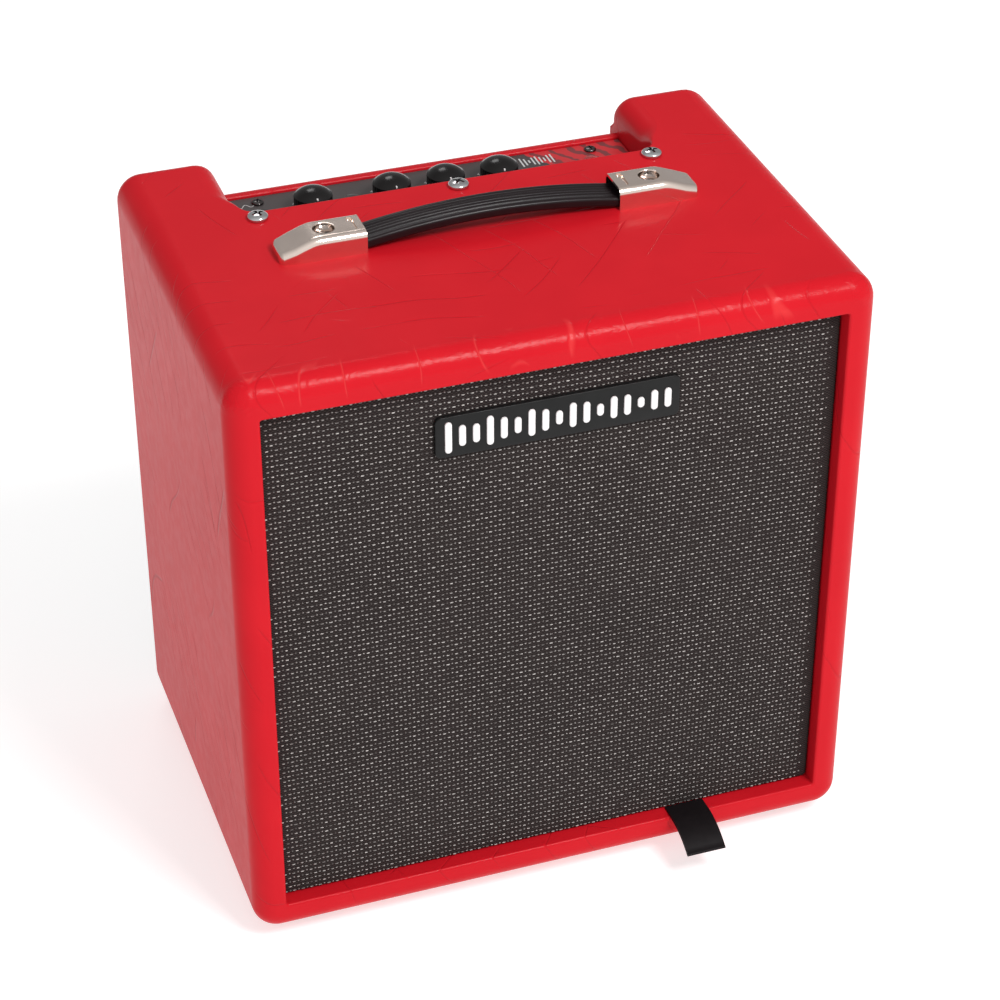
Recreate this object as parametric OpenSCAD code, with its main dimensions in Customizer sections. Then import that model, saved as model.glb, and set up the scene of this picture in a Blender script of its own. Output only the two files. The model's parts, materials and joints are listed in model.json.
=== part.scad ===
// Small closed-back combo amplifier with a top rear control recess and a strap handle.
// +X is to the right seen from the front, the front faces -Y and +Z is up.
// The origin is on the floor, under the middle of the outline with the pull tab in it.

/* [Cabinet] */
// Outside width of the cabinet
cab_w = 305; // [300:1:330]
// Outside height of the cabinet without its feet
cab_h = 307; // [300:1:330]
// Outside depth of the cabinet
cab_d = 215.5; // [212:0.5:235]
// Finished thickness of the side walls
side_t = 15; // [14.5:0.5:17]
// Finished thickness of the top and bottom walls
end_t = 16.3; // [15.5:0.1:17]
// Radius of the four long edges that run front to back
long_r = 12.7; // [8:0.1:13.5]
// Radius of the front and back edges
front_r = 10.3; // [6:0.1:11]
// How far the eight outer corners are trimmed, measured from the square corner
corner_trim = 9.2; // [8:0.1:10]
// Thickness of the vinyl covering
vinyl_t = 0.8; // [0.6:0.1:1]
// Height of the rubber feet
foot_h = 7; // [5:0.5:12]

/* [Control recess] */
// Width of the recess between the two rear ears
recess_w = 208; // [204:1:214]
// Depth behind the front face at which the recess starts
recess_depth = 153; // [152:0.5:155]
// Radius of the two front corners of the recess
recess_r = 9; // [4:0.5:9.5]
// Radius along the inner top edge of each ear
ear_r = 10; // [4:0.5:11]
// How far the upright inner back edge of each ear is trimmed
ear_edge_trim = 2.5; // [2:0.1:3]
// How far the corner above that edge is trimmed
ear_corner_trim = 9.5; // [9:0.1:10]
// Drop from the cabinet top to the control panel
panel_drop = 19.7; // [19:0.1:22]
// Drop from the cabinet top to the rear rail
rail_drop = 18.4; // [17:0.1:19]
// Finished thickness of the rear rail
rail_t = 12; // [11.5:0.5:12.5]

/* [Grille] */
// How far the grille cloth sits behind the front face
grille_recess = 7.5; // [6:0.5:8.5]
// Width of the badge on the grille
badge_w = 116; // [80:1:140]
// Height of the badge on the grille
badge_h = 21; // [14:1:26]
// Width of the ribbon that pulls the grille off
tab_w = 20; // [12:1:26]
// How far the ribbon hangs out in front of the cabinet
tab_reach = 24; // [14:1:30]

/* [Knobs and buttons] */
// Diameter of each knob
knob_d = 18.8; // [17:0.1:20]
// Distance between neighbouring right hand knobs
knob_pitch = 27.5; // [24:0.5:28]
// Distance of the gain knob from the drive knob
gain_gap = 39.5; // [36:0.5:41]
// Travel of the push buttons
button_travel = 2.5; // [1.5:0.1:3]

/* [Handle] */
// Distance from each handle screw to the middle of the strap
half_span = 79.5; // [74:0.5:84]
// Width of the two metal end caps
cap_w = 20; // [19:0.5:24]
// Height of the end caps at their mouths
cap_h = 11; // [10.8:0.1:12]
// Width of the strap
strap_w = 17; // [14:0.5:17]
// Thickness of the strap
strap_t = 5.5; // [4:0.1:5.5]
// Rise of the strap between the caps at rest
strap_rise = 5.5; // [3:0.5:7]

/* [Hidden] */
$fn = 64;

// Cabinet faces and planes, measured from the cabinet's own middle
front_y = -cab_d / 2;
back_y = cab_d / 2;
top_z = foot_h + cab_h;
open_x = cab_w / 2 - side_t;
open_low = foot_h + end_t;
open_high = top_z - end_t;
board_x = open_x + vinyl_t;
board_low = open_low - vinyl_t;
board_high = open_high + vinyl_t;
opening_mid = (open_low + open_high) / 2;
front_lip = 14;
back_lip = 11;
recess_y = front_y + recess_depth;
rail_y = back_y - rail_t;
rail_low = top_z - 60;
recess_skirt = 24;
batten_t = 12;
back_panel_t = 9;
back_panel_y = back_y - back_lip;
back_panel_half = open_x - 0.5;
foot_x = cab_w / 2 - 30;
foot_y = cab_d / 2 - 28;

// Grille
grille_gap = 0.5;
cloth_t = 0.8;
grille_y = front_y + grille_recess;
grille_half = open_x - grille_gap;
grille_low = open_low + grille_gap;
grille_high = open_high - grille_gap;
grille_back = front_y + 17;
badge_t = 2.2;
badge_z = top_z - 45.5;
tab_x = 70;
tab_t = 1.6;

// Baffle and loudspeaker, with depths measured behind the front face
baffle_front = 20;
baffle_t = 12;
cutout_r = 92.5;
flange_r = 104.5;
basket_t = 1.4;
screw_ring_r = 98.5;
shelf_depth = 71.4;
magnet_t = 17;
plate_t = 6;
coil_r = 19.6;
cone_r = 80;
cone_throat = 50;
cone_rim = 24;

// Control panel, chassis and electronics
panel_z = top_z - panel_drop;
panel_t = 1.5;
sheet_t = 1.2;
web_z = panel_z - panel_t - sheet_t;
chassis_half = 98;
chassis_front = recess_y;
chassis_back = rail_y - 2.5;
chassis_low = top_z - 64;
controls_y = front_y + 178;
board_top = web_z - 13.6;
board_t = 1.6;
tone_x = 4;
knob_x = [tone_x - knob_pitch - gain_gap, tone_x - knob_pitch, tone_x, tone_x + knob_pitch];
voice_x = -43.3;
jack_x = -88;
mini_x = [47, 58];
led_x = 69;
power_x = 80;
dc_x = 92;
screw_spots = [for (side = [-1, 1], depth = [160, 196.5]) [side * 86, front_y + depth]];
standoff_spots = [for (x = [-66, 66], y = [-18, 16]) [x, controls_y + y]];
top_screw_y = front_y + 146;
top_screw_x = 98.5;

// Knobs, shafts and buttons
knob_base = panel_z + 0.8;
knob_top = top_z - 5.7;
shaft_r = 3;
bushing_r = 3.5;
button_r = 4;
button_top = panel_z + 5.5;

// Handle
handle_x = 2;
handle_y = 0;
cap_len = 41;
cap_hole = 18;
boss_low = 4;
seat_h = 5;
strap_low = 0.6;
strap_end = cap_hole - 8.5;
half_mouth = half_span - cap_hole;
strap_radius = (half_mouth * half_mouth + strap_rise * strap_rise) / (2 * strap_rise);
core_low = 1.4;
core_t = 1.5;

// ---------- shared shapes ----------

// Moves the cabinet back so that the origin is in the middle of the whole outline
module stand() {
    translate([0, tab_reach / 2, 0]) children();
}

module round_rect(w, h, r) {
    square([w - 2 * r, h], center = true);
    square([w, h - 2 * r], center = true);
    for (sx = [-1, 1], sy = [-1, 1])
        translate([sx * (w / 2 - r), sy * (h / 2 - r)]) circle(r);
}

module box_between(low, high) {
    translate(low) cube(high - low);
}

// Places a child so that its +Z runs back from the front face, on the loudspeaker's axis
module on_speaker_axis() {
    translate([0, front_y, opening_mid]) rotate([-90, 0, 0]) children();
}

// Pan head screw pointing down, its head resting on z = 0
module pan_screw(head_r, head_h, shank_r, length) {
    difference() {
        union() {
            intersection() {
                cylinder(h = head_h, r = head_r);
                translate([0, 0, head_h - 1.3 * head_r]) sphere(1.3 * head_r);
            }
            translate([0, 0, -length]) cylinder(h = length + 0.5, r = shank_r);
        }
        for (turn = [0, 90]) rotate(turn)
            translate([0, 0, head_h]) cube([head_r, head_r / 5, head_h], center = true);
    }
}

module hex_nut(width, height, hole_r) {
    difference() {
        cylinder(h = height, r = width / sqrt(3), $fn = 6);
        translate([0, 0, -1]) cylinder(h = height + 2, r = hole_r);
    }
}

// ---------- cabinet ----------

module rounded_block(inset) {
    w = cab_w - 2 * inset;
    h = cab_h - 2 * inset;
    d = cab_d - 2 * inset;
    translate([0, 0, foot_h + cab_h / 2]) difference() {
        intersection() {
            rotate([90, 0, 0]) linear_extrude(d, center = true) round_rect(w, h, long_r - inset);
            rotate([90, 0, 90]) linear_extrude(w, center = true) round_rect(d, h, front_r - inset);
            linear_extrude(h, center = true) round_rect(w, d, front_r - inset);
        }
        corner_trims(w, d, h, corner_trim - inset * (sqrt(3) - 1));
    }
}

// Blocks that cut each corner off square to the line from the middle of a cube to its corner
module corner_trims(w, d, h, depth) {
    size = 40;
    for (x = [0, 1], y = [0, 1], z = [0, 1])
        mirror([x, 0, 0]) mirror([0, y, 0]) mirror([0, 0, z])
            translate([w / 2, d / 2, h / 2]) rotate([0, atan(sqrt(2)), 45])
                translate([-size / 2, -size / 2, -depth]) cube(size);
}

// The recess in the top: a well in front of the rail and a lower step over the rail
module recess_cut(grow) {
    half = recess_w / 2 + grow;
    r = recess_r + grow;
    front = recess_y - grow;
    well_back = rail_y + grow;
    step_z = top_z - rail_drop - grow;
    translate([0, 0, top_z - recess_skirt]) linear_extrude(recess_skirt + 1) {
        translate([-half, front + r]) square([2 * half, well_back - front - r]);
        translate([-half + r, front]) square([2 * (half - r), r + 1]);
        for (side = [-1, 1]) translate([side * (half - r), front + r]) circle(r);
    }
    box_between([-half, well_back - 1, step_z], [half, back_y + 1, top_z + 1]);
}

// What rounds off the back of the rail and the inner top edges of the ears
module recess_rounding(inset) {
    r = front_r - inset;
    half = recess_w / 2 + inset;
    step_z = top_z - rail_drop - inset;
    difference() {
        box_between([-half, back_y - inset - r, step_z - r], [half, back_y + 1, step_z + 1]);
        translate([-half - 1, back_y - inset - r, step_z - r]) rotate([0, 90, 0])
            cylinder(h = 2 * half + 2, r = r);
    }
    for (side = [0, 1]) mirror([side, 0, 0]) difference() {
        box_between([recess_w / 2 - 1, recess_y + recess_r, top_z - ear_r],
            [recess_w / 2 + ear_r, back_y + 1, top_z + 1]);
        translate([recess_w / 2 + ear_r, recess_y, top_z - ear_r]) rotate([-90, 0, 0])
            cylinder(h = cab_d, r = ear_r - inset);
    }
}

// Flats on the upright inner back edge of each ear and on the corner above it
module ear_trims(inset) {
    size = 40;
    low = top_z - rail_drop;
    for (side = [0, 1]) mirror([side, 0, 0]) intersection() {
        box_between([recess_w / 2 - 1, rail_y, low], [recess_w / 2 + size, back_y + 1, top_z + 1]);
        union() {
            translate([recess_w / 2, back_y, low - 1]) rotate([0, 0, 45])
                translate([-size / 2, -ear_edge_trim - inset, 0]) cube(size);
            translate([recess_w / 2, back_y, top_z]) rotate([0, atan(sqrt(2)), 135])
                translate([-size / 2, -size / 2, -ear_corner_trim - inset]) cube(size);
        }
    }
}

module cabinet_form(inset) {
    difference() {
        rounded_block(inset);
        recess_cut(inset);
        recess_rounding(inset);
        ear_trims(inset);
    }
}

module wooden(low, high) {
    color("tan") intersection() {
        cabinet_form(vinyl_t);
        box_between(low, high);
    }
}

module left_side_board() {
    wooden([-cab_w, front_y, board_low], [-board_x, back_y, board_high]);
}

module right_side_board() {
    wooden([board_x, front_y, board_low], [cab_w, back_y, board_high]);
}

module top_board() {
    difference() {
        wooden([-cab_w, front_y, board_high], [cab_w, back_y, top_z]);
        for (x = [-top_screw_x, 0, top_screw_x])
            translate([x, top_screw_y, board_high - 1]) cylinder(h = end_t + 2, r = 2.2);
        for (side = [-1, 1])
            translate([handle_x + side * half_span, handle_y, board_high - 1])
                cylinder(h = end_t + 2, r = 2.4);
    }
}

module bottom_board() {
    difference() {
        wooden([-cab_w, front_y, 0], [cab_w, back_y, board_low]);
        for (x = [-foot_x, foot_x], y = [-foot_y, foot_y])
            translate([x, y, 0]) cylinder(h = foot_h + 12, r = 2);
    }
}

module rear_rail() {
    wooden([-board_x, rail_y + vinyl_t, rail_low], [board_x, back_y, board_high]);
}

module recess_cheeks() {
    inner = recess_w / 2 + vinyl_t;
    color("tan") for (side = [0, 1]) mirror([side, 0, 0])
        box_between([inner, recess_y + 1.5, rail_low], [inner + 12, rail_y + vinyl_t, board_high]);
}

module lining(low_y, high_y, high_z) {
    difference() {
        box_between([-board_x, low_y, board_low], [board_x, high_y, high_z + vinyl_t]);
        box_between([-open_x, low_y - 1, open_low], [open_x, high_y + 1, high_z]);
    }
}

module vinyl_covering() {
    color("crimson") difference() {
        union() {
            difference() {
                cabinet_form(0);
                cabinet_form(vinyl_t);
                box_between([-open_x, front_y - 1, open_low], [open_x, front_y + 5, open_high]);
                box_between([-open_x, back_y - 5, open_low],
                    [open_x, back_y + 1, rail_low - vinyl_t]);
            }
            lining(front_y + vinyl_t, front_y + front_lip, open_high);
            lining(back_y - back_lip, back_y - vinyl_t, rail_low - vinyl_t);
        }
        box_between([-recess_w / 2 - 1, recess_y - 2, top_z - recess_skirt - 1],
            [recess_w / 2 + 1, recess_y + 1.5, board_high]);
        for (x = [-top_screw_x, 0, top_screw_x])
            translate([x, top_screw_y, board_high]) cylinder(h = end_t + 2, r = 2.2);
        for (side = [-1, 1])
            translate([handle_x + side * half_span, handle_y, board_high])
                cylinder(h = end_t + 2, r = 2.4);
        for (x = [-foot_x, foot_x], y = [-foot_y, foot_y])
            translate([x, y, 0]) cylinder(h = foot_h + 5, r = 2);
    }
}

module battens() {
    front_low = front_y + baffle_front + baffle_t;
    front_high = front_low + batten_t;
    rear_low = back_panel_y - batten_t;
    inner = board_x - batten_t;
    color("burlywood") difference() {
        union() {
            for (side = [0, 1]) mirror([side, 0, 0]) {
                box_between([inner, front_low, board_low], [board_x, front_high, board_high]);
                box_between([inner, rear_low, board_low], [board_x, back_panel_y, rail_low - 2]);
            }
            for (z = [board_low, board_high - batten_t])
                box_between([-inner + 0.2, front_low, z], [inner - 0.2, front_high, z + batten_t]);
            box_between([-inner + 0.2, rear_low, board_low],
                [inner - 0.2, back_panel_y, board_low + batten_t]);
        }
        for (spot = back_screw_spots())
            translate([spot[0], rear_low + 2, spot[1]]) rotate([-90, 0, 0])
                cylinder(h = batten_t, r = 1.8);
    }
}

function back_screw_spots() = concat(
    [for (side = [-1, 1], z = [foot_h + 30, foot_h + 125, rail_low - 12])
        [side * (board_x - batten_t / 2), z]],
    [for (x = [-45, 45]) [x, board_low + batten_t / 2 + 1]]
);

module back_panel() {
    color("dimgray") difference() {
        box_between([-back_panel_half, back_panel_y, open_low + 0.5],
            [back_panel_half, back_panel_y + back_panel_t, rail_low - vinyl_t - 0.5]);
        for (spot = back_screw_spots())
            translate([spot[0], back_panel_y - 1, spot[1]]) rotate([-90, 0, 0])
                cylinder(h = back_panel_t + 2, r = 2);
    }
}

module back_screws() {
    color("silver") for (spot = back_screw_spots())
        translate([spot[0], back_panel_y + back_panel_t, spot[1]]) rotate([-90, 0, 0])
            pan_screw(3.6, 2.2, 1.7, back_panel_t + 8);
}

module rubber_feet() {
    color("black") for (x = [-foot_x, foot_x], y = [-foot_y, foot_y])
        translate([x, y, 0]) difference() {
            cylinder(h = foot_h, r1 = 10, r2 = 11.5);
            translate([0, 0, -1]) cylinder(h = foot_h + 2, r = 2);
            translate([0, 0, -1]) cylinder(h = foot_h - 2, r = 5);
        }
}

module foot_screws() {
    color("silver") for (x = [-foot_x, foot_x], y = [-foot_y, foot_y])
        translate([x, y, foot_h - 3]) rotate([180, 0, 0]) pan_screw(4, 2.4, 1.8, 12);
}

// ---------- grille ----------

module grille_frame() {
    inner = cloth_t;
    color("saddlebrown") difference() {
        box_between([-grille_half + inner, grille_y + cloth_t, grille_low + inner],
            [grille_half - inner, grille_back, grille_high - inner]);
        on_speaker_axis() cylinder(h = 30, r = flange_r + 1.5);
    }
}

module grille_cloth() {
    inner = cloth_t;
    color("dimgray") difference() {
        box_between([-grille_half, grille_y, grille_low], [grille_half, grille_back, grille_high]);
        box_between([-grille_half + inner, grille_y + cloth_t, grille_low + inner],
            [grille_half - inner, grille_back + 1, grille_high - inner]);
    }
}

module pull_tab() {
    path = [[grille_y, 0.2], [front_y + 1, 0.2], [front_y - tab_reach / 3, -0.6],
        [front_y - 2 * tab_reach / 3, -3], [front_y - tab_reach, -6.6]];
    outline = concat(path, [for (i = [len(path) - 1 : -1 : 0]) path[i] + [0, tab_t]]);
    color("black") translate([tab_x - tab_w / 2, 0, open_low]) rotate([90, 0, 90])
        linear_extrude(tab_w) polygon(outline);
}

module badge_plate() {
    color("black") translate([0, grille_y, badge_z]) rotate([90, 0, 0])
        linear_extrude(badge_t) round_rect(badge_w, badge_h, 3);
}

// A row of upright bars whose heights swell and fade like a plucked note
module badge_bars() {
    count = 17;
    bar_w = 3.2;
    bar_t = 0.8;
    pitch = (badge_w - 12) / (count - 1);
    color("white") for (i = [0 : count - 1]) {
        fade = 1 - 0.5 * i / (count - 1);
        tall = 5 + (badge_h - 10) * fade * abs(cos(i * 58));
        translate([(i - (count - 1) / 2) * pitch - bar_w / 2, grille_y - badge_t - bar_t, badge_z - tall / 2])
            cube([bar_w, bar_t, tall]);
    }
}

// ---------- loudspeaker ----------

module baffle_board() {
    color("tan") difference() {
        box_between([-board_x, front_y + baffle_front, board_low],
            [board_x, front_y + baffle_front + baffle_t, board_high]);
        on_speaker_axis() cylinder(h = 60, r = cutout_r);
        on_speaker_axis() for (turn = [22.5 : 45 : 337.5]) rotate(turn)
            translate([screw_ring_r, 0, 0]) cylinder(h = 60, r = 2);
    }
}

module speaker_basket() {
    lip = baffle_front - basket_t;
    tube_r = cutout_r - 0.5;
    seat_r = 46;
    seat_depth = 62;
    color("black") on_speaker_axis() difference() {
        rotate_extrude() polygon([
            [flange_r, lip], [flange_r, baffle_front], [tube_r, baffle_front], [tube_r, 30],
            [seat_r, seat_depth], [seat_r, shelf_depth], [28, shelf_depth],
            [28, shelf_depth - basket_t], [seat_r - basket_t, shelf_depth - basket_t],
            [seat_r - basket_t, seat_depth + 2.2], [42, seat_depth + 2.2],
            [42, seat_depth + 0.8], [seat_r - basket_t, seat_depth + 0.8],
            [seat_r - basket_t, seat_depth - 0.6], [tube_r - basket_t, 29.4],
            [tube_r - basket_t, lip]
        ]);
        for (turn = [0 : 60 : 300]) rotate(turn) translate([70, 0, 46])
            rotate([0, -35, 0]) cube([34, 30, 40], center = true);
        for (turn = [22.5 : 45 : 337.5]) rotate(turn)
            translate([screw_ring_r, 0, lip - 1]) cylinder(h = 4, r = 2.2);
    }
}

module speaker_gasket() {
    lip = baffle_front - basket_t;
    color("dimgray") on_speaker_axis() difference() {
        translate([0, 0, lip - 1.2]) cylinder(h = 1.2, r = flange_r - 0.5);
        translate([0, 0, lip - 2]) cylinder(h = 3, r = 94.4);
        for (turn = [22.5 : 45 : 337.5]) rotate(turn)
            translate([screw_ring_r, 0, lip - 2]) cylinder(h = 4, r = 4.2);
    }
}

module speaker_screws() {
    lip = baffle_front - basket_t;
    color("silver") on_speaker_axis() for (turn = [22.5 : 45 : 337.5]) rotate(turn)
        translate([screw_ring_r, 0, lip]) rotate([180, 0, 0]) pan_screw(3.6, 2.2, 1.7, 11);
}

module speaker_cone() {
    color("#333333") on_speaker_axis() rotate_extrude() polygon([
        [coil_r, cone_throat], [cone_r, cone_rim], [cone_r, cone_rim + 1],
        [coil_r, cone_throat + 1.2]
    ]);
}

module speaker_surround() {
    roll_r = 5;
    roll_x = cone_r + 0.4 + roll_r;
    lip = baffle_front - basket_t;
    color("black") on_speaker_axis() rotate_extrude() difference() {
        union() {
            translate([roll_x, cone_rim]) circle(roll_r);
            translate([roll_x + roll_r - 0.8, lip - 0.8]) square([0.8, cone_rim - lip + 0.8]);
            translate([roll_x + roll_r - 0.8, lip - 0.8]) square([3.6, 0.8]);
        }
        translate([roll_x, cone_rim]) circle(roll_r - 0.8);
        translate([roll_x - roll_r - 1, cone_rim]) square([2 * roll_r + 2, roll_r + 1]);
    }
}

module dust_cap() {
    dome_r = 30;
    rim_r = 24;
    rim_depth = cone_throat - (rim_r - coil_r) * (cone_throat - cone_rim) / (cone_r - coil_r);
    centre = rim_depth - 0.3 + sqrt(dome_r * dome_r - rim_r * rim_r);
    color("#222222") on_speaker_axis() difference() {
        translate([0, 0, centre]) sphere(dome_r);
        translate([0, 0, centre]) sphere(dome_r - 0.8);
        translate([0, 0, rim_depth - 0.3 + 50]) cube([100, 100, 100], center = true);
    }
}

module voice_coil() {
    color("orange") on_speaker_axis() difference() {
        union() {
            translate([0, 0, cone_throat - 1]) cylinder(h = 37, r = coil_r);
            translate([0, 0, 70]) cylinder(h = 10, r = coil_r + 0.4);
        }
        translate([0, 0, 40]) cylinder(h = 60, r = coil_r - 0.6);
    }
}

module spider() {
    depth = 62.8;
    color("goldenrod") on_speaker_axis() rotate_extrude() difference() {
        translate([coil_r + 0.6, depth - 0.8]) square([24, 0.8]);
        for (r = [26 : 5 : 41]) translate([r, depth - 0.8]) circle(0.4);
    }
}

module speaker_magnet() {
    color("#444444") on_speaker_axis() difference() {
        translate([0, 0, shelf_depth + plate_t]) cylinder(h = magnet_t, r = 50);
        translate([0, 0, 70]) cylinder(h = 40, r = 28);
    }
}

module magnet_plates() {
    back_depth = shelf_depth + plate_t + magnet_t;
    color("gray") on_speaker_axis() {
        difference() {
            translate([0, 0, shelf_depth]) cylinder(h = plate_t, r = 45);
            translate([0, 0, 70]) cylinder(h = 20, r = coil_r + 0.8);
        }
        translate([0, 0, back_depth]) cylinder(h = plate_t, r = 46);
        translate([0, 0, shelf_depth + 1]) cylinder(h = back_depth - shelf_depth, r = coil_r - 1);
    }
}

// The lead from the amplifier board down to the basket, swept along a hand laid route
lead_r = 1.6;
lead_route = [
    [60, 60, 270], [60, 60, 262], [61, 57, 252], [63, 50, 240], [66, 40, 227], [69, 28, 213],
    [71, 15, 200], [71, 2, 190], [67, -10, 183], [60, -22, 180], [51, -33, 181], [43, -41.5, 183.5]
];
lead_sides = 8;

function unit(v) = v / norm(v);
function lead_heading(i) = unit(
    lead_route[min(i + 1, len(lead_route) - 1)] - lead_route[max(i - 1, 0)]);
function lead_ring(i) = let (
        along = lead_heading(i),
        across = unit(cross(along, [1, 0, 0])),
        other = cross(along, across)
    ) [for (k = [0 : lead_sides - 1])
        lead_route[i] + lead_r * (cos(k * 360 / lead_sides) * across
            + sin(k * 360 / lead_sides) * other)];

module speaker_lead() {
    rings = len(lead_route);
    points = [for (i = [0 : rings - 1]) each lead_ring(i)];
    walls = [for (i = [0 : rings - 2], k = [0 : lead_sides - 1])
        let (next = (k + 1) % lead_sides, a = i * lead_sides, b = a + lead_sides)
            [a + k, a + next, b + next, b + k]];
    first_end = [for (k = [lead_sides - 1 : -1 : 0]) k];
    last_end = [for (k = [0 : lead_sides - 1]) (rings - 1) * lead_sides + k];
    color("red") polyhedron(points, concat(walls, [first_end, last_end]));
}

// ---------- chassis and controls ----------

module control_holes(grow) {
    for (x = knob_x) translate([x, controls_y, 0]) cylinder(h = top_z, r = bushing_r + grow);
    for (x = [voice_x, power_x]) translate([x, controls_y, 0])
        cylinder(h = top_z, r = button_r + 0.7 + grow);
    for (x = mini_x) translate([x, controls_y, 0]) cylinder(h = top_z, r = 3 + grow);
    translate([jack_x, controls_y, 0]) cylinder(h = top_z, r = 4.6 + grow);
    translate([led_x, controls_y, 0]) cylinder(h = top_z, r = 2.4 + grow);
    translate([dc_x, controls_y, 0]) cylinder(h = top_z, r = 4 + grow);
    for (spot = screw_spots) translate([spot[0], spot[1], 0]) cylinder(h = top_z, r = 1.5 + grow);
}

module chassis() {
    color("lightgray") difference() {
        union() {
            box_between([-106, front_y + 139, board_high - sheet_t],
                [106, chassis_front + sheet_t, board_high]);
            box_between([-chassis_half, chassis_front, chassis_low],
                [chassis_half, chassis_front + sheet_t, board_high]);
            box_between([-chassis_half, chassis_front, web_z],
                [chassis_half, chassis_back, web_z + sheet_t]);
            box_between([-chassis_half, chassis_back - sheet_t, chassis_low],
                [chassis_half, chassis_back, web_z + sheet_t]);
            for (side = [0, 1]) mirror([side, 0, 0])
                box_between([chassis_half - sheet_t, chassis_front, chassis_low],
                    [chassis_half, chassis_back, web_z + sheet_t]);
        }
        translate([0, 0, web_z - 1]) control_holes(0.2);
        for (x = [-top_screw_x, 0, top_screw_x])
            translate([x, top_screw_y, board_high - 3]) cylinder(h = 5, r = 2.2);
    }
}

module chassis_screws() {
    color("silver") for (x = [-top_screw_x, 0, top_screw_x])
        translate([x, top_screw_y, top_z]) rotate(22) pan_screw(5, 3.2, 2, 22);
}

module control_panel() {
    half = recess_w / 2 - 0.4;
    r = recess_r - 0.4;
    front = recess_y + sheet_t + 0.3;
    back = rail_y - 0.4;
    color("#3c3a3c") difference() {
        translate([0, 0, panel_z - panel_t]) linear_extrude(panel_t) {
            translate([-half, front + r]) square([2 * half, back - front - r]);
            translate([-half + r, front]) square([2 * (half - r), r + 1]);
            for (side = [-1, 1]) translate([side * (half - r), front + r]) circle(r);
        }
        translate([0, 0, panel_z - 10]) control_holes(0.2);
    }
}

module panel_screws() {
    color("#222222") for (spot = screw_spots)
        translate([spot[0], spot[1], panel_z]) rotate(15) pan_screw(3, 1.8, 1.5, 8);
}

module circuit_board() {
    color("darkgreen") difference() {
        box_between([-74, controls_y - 22, board_top - board_t], [96, controls_y + 20, board_top]);
        for (spot = standoff_spots)
            translate([spot[0], spot[1], board_top - 5]) cylinder(h = 10, r = 1.6);
    }
    // Reservoir capacitors, the output chip and the speaker plug hang under the board
    low = board_top - board_t;
    color("navy") for (x = [10, 24]) translate([x, controls_y + 4, low - 14])
        cylinder(h = 14, r = 5);
    color("#222222") box_between([-20, controls_y - 4, low - 3], [-2, controls_y + 10, low]);
    color("ivory") box_between([55, controls_y - 15.2, low - 6.3], [65, controls_y - 5, low]);
}

module board_standoffs() {
    color("gold") for (spot = standoff_spots) translate([spot[0], spot[1], board_top]) {
        cylinder(h = web_z - board_top, r = 3, $fn = 6);
        translate([0, 0, -board_t - 2]) cylinder(h = 2, r = 2.8);
        translate([0, 0, -board_t - 1]) cylinder(h = board_t + 2, r = 1.5);
    }
}

module pot_bodies() {
    height = 9;
    color("steelblue") for (x = knob_x) translate([x, controls_y, web_z]) difference() {
        union() {
            translate([-8, -7, -height]) cube([16, 17, height]);
            cylinder(h = panel_z - web_z + 4.5, r = bushing_r);
            for (pin = [-5, 0, 5]) translate([pin - 0.4, -6, board_top - web_z])
                cube([0.8, 0.8, web_z - board_top - height + 1]);
        }
        translate([0, 0, -5]) cylinder(h = 30, r = shaft_r + 0.05);
    }
}

module pot_nuts() {
    color("silver") for (x = knob_x) translate([x, controls_y, panel_z])
        hex_nut(10, 2, bushing_r + 0.1);
}

module pot_shaft(x) {
    color("lightgray") translate([x, controls_y, web_z - 4.8])
        cylinder(h = knob_top - 2.5 - web_z + 4.8, r = shaft_r);
}

// Knob with a hollow skirt, a tapered shoulder and a crowned top
module control_knob(x) {
    height = knob_top - knob_base;
    crown_r = 34;
    color("black") translate([x, controls_y, knob_base]) difference() {
        intersection() {
            cylinder(h = height, r = knob_d / 2);
            translate([0, 0, height - crown_r]) sphere(crown_r);
            translate([0, 0, -height]) cylinder(h = 2 * height, r1 = knob_d, r2 = knob_d / 2 - 1.6);
        }
        translate([0, 0, -1]) cylinder(h = 7, r = 6.8);
        translate([0, 0, -1]) cylinder(h = height - 2.5 + 1, r = shaft_r);
    }
}

module gain_knob() { control_knob(knob_x[0]); }
module drive_knob() { control_knob(knob_x[1]); }
module tone_knob() { control_knob(knob_x[2]); }
module level_knob() { control_knob(knob_x[3]); }
module gain_shaft() { pot_shaft(knob_x[0]); }
module drive_shaft() { pot_shaft(knob_x[1]); }
module tone_shaft() { pot_shaft(knob_x[2]); }
module level_shaft() { pot_shaft(knob_x[3]); }

module push_button(x, tint) {
    bottom = web_z - 4;
    color(tint) translate([x, controls_y, bottom])
        intersection() {
            cylinder(h = button_top - bottom, r = button_r);
            translate([0, 0, button_top - bottom - 12]) sphere(12);
            translate([-9, -9, 0]) cube([18, 18, 40]);
        }
}

module switch_body(x) {
    color("dimgray") translate([x, controls_y, web_z]) difference() {
        union() {
            translate([-5.5, -5.5, -13.4]) cube([11, 11, 13.4]);
            cylinder(h = panel_z - web_z, r = button_r + 0.7);
            translate([0, 0, panel_z - web_z]) cylinder(h = 1, r = button_r + 2);
        }
        translate([0, 0, -4 - button_travel - 1.5]) cylinder(h = 30, r = button_r + 0.3);
    }
}

module voice_button() { push_button(voice_x, "#222222"); }
module voice_switch() { switch_body(voice_x); }
module power_button() { push_button(power_x, "firebrick"); }
module power_switch() { switch_body(power_x); }

module input_jack() {
    color("#222222") translate([jack_x, controls_y, web_z]) difference() {
        union() {
            translate([-7.5, -10, -24]) cube([15, 20, 24]);
            cylinder(h = panel_z - web_z + 4, r = 4.6);
            translate([0, 0, panel_z - web_z]) cylinder(h = 2.5, r = 7, $fn = 6);
        }
        translate([0, 0, -22]) cylinder(h = 40, r = 3.25);
    }
}

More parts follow.
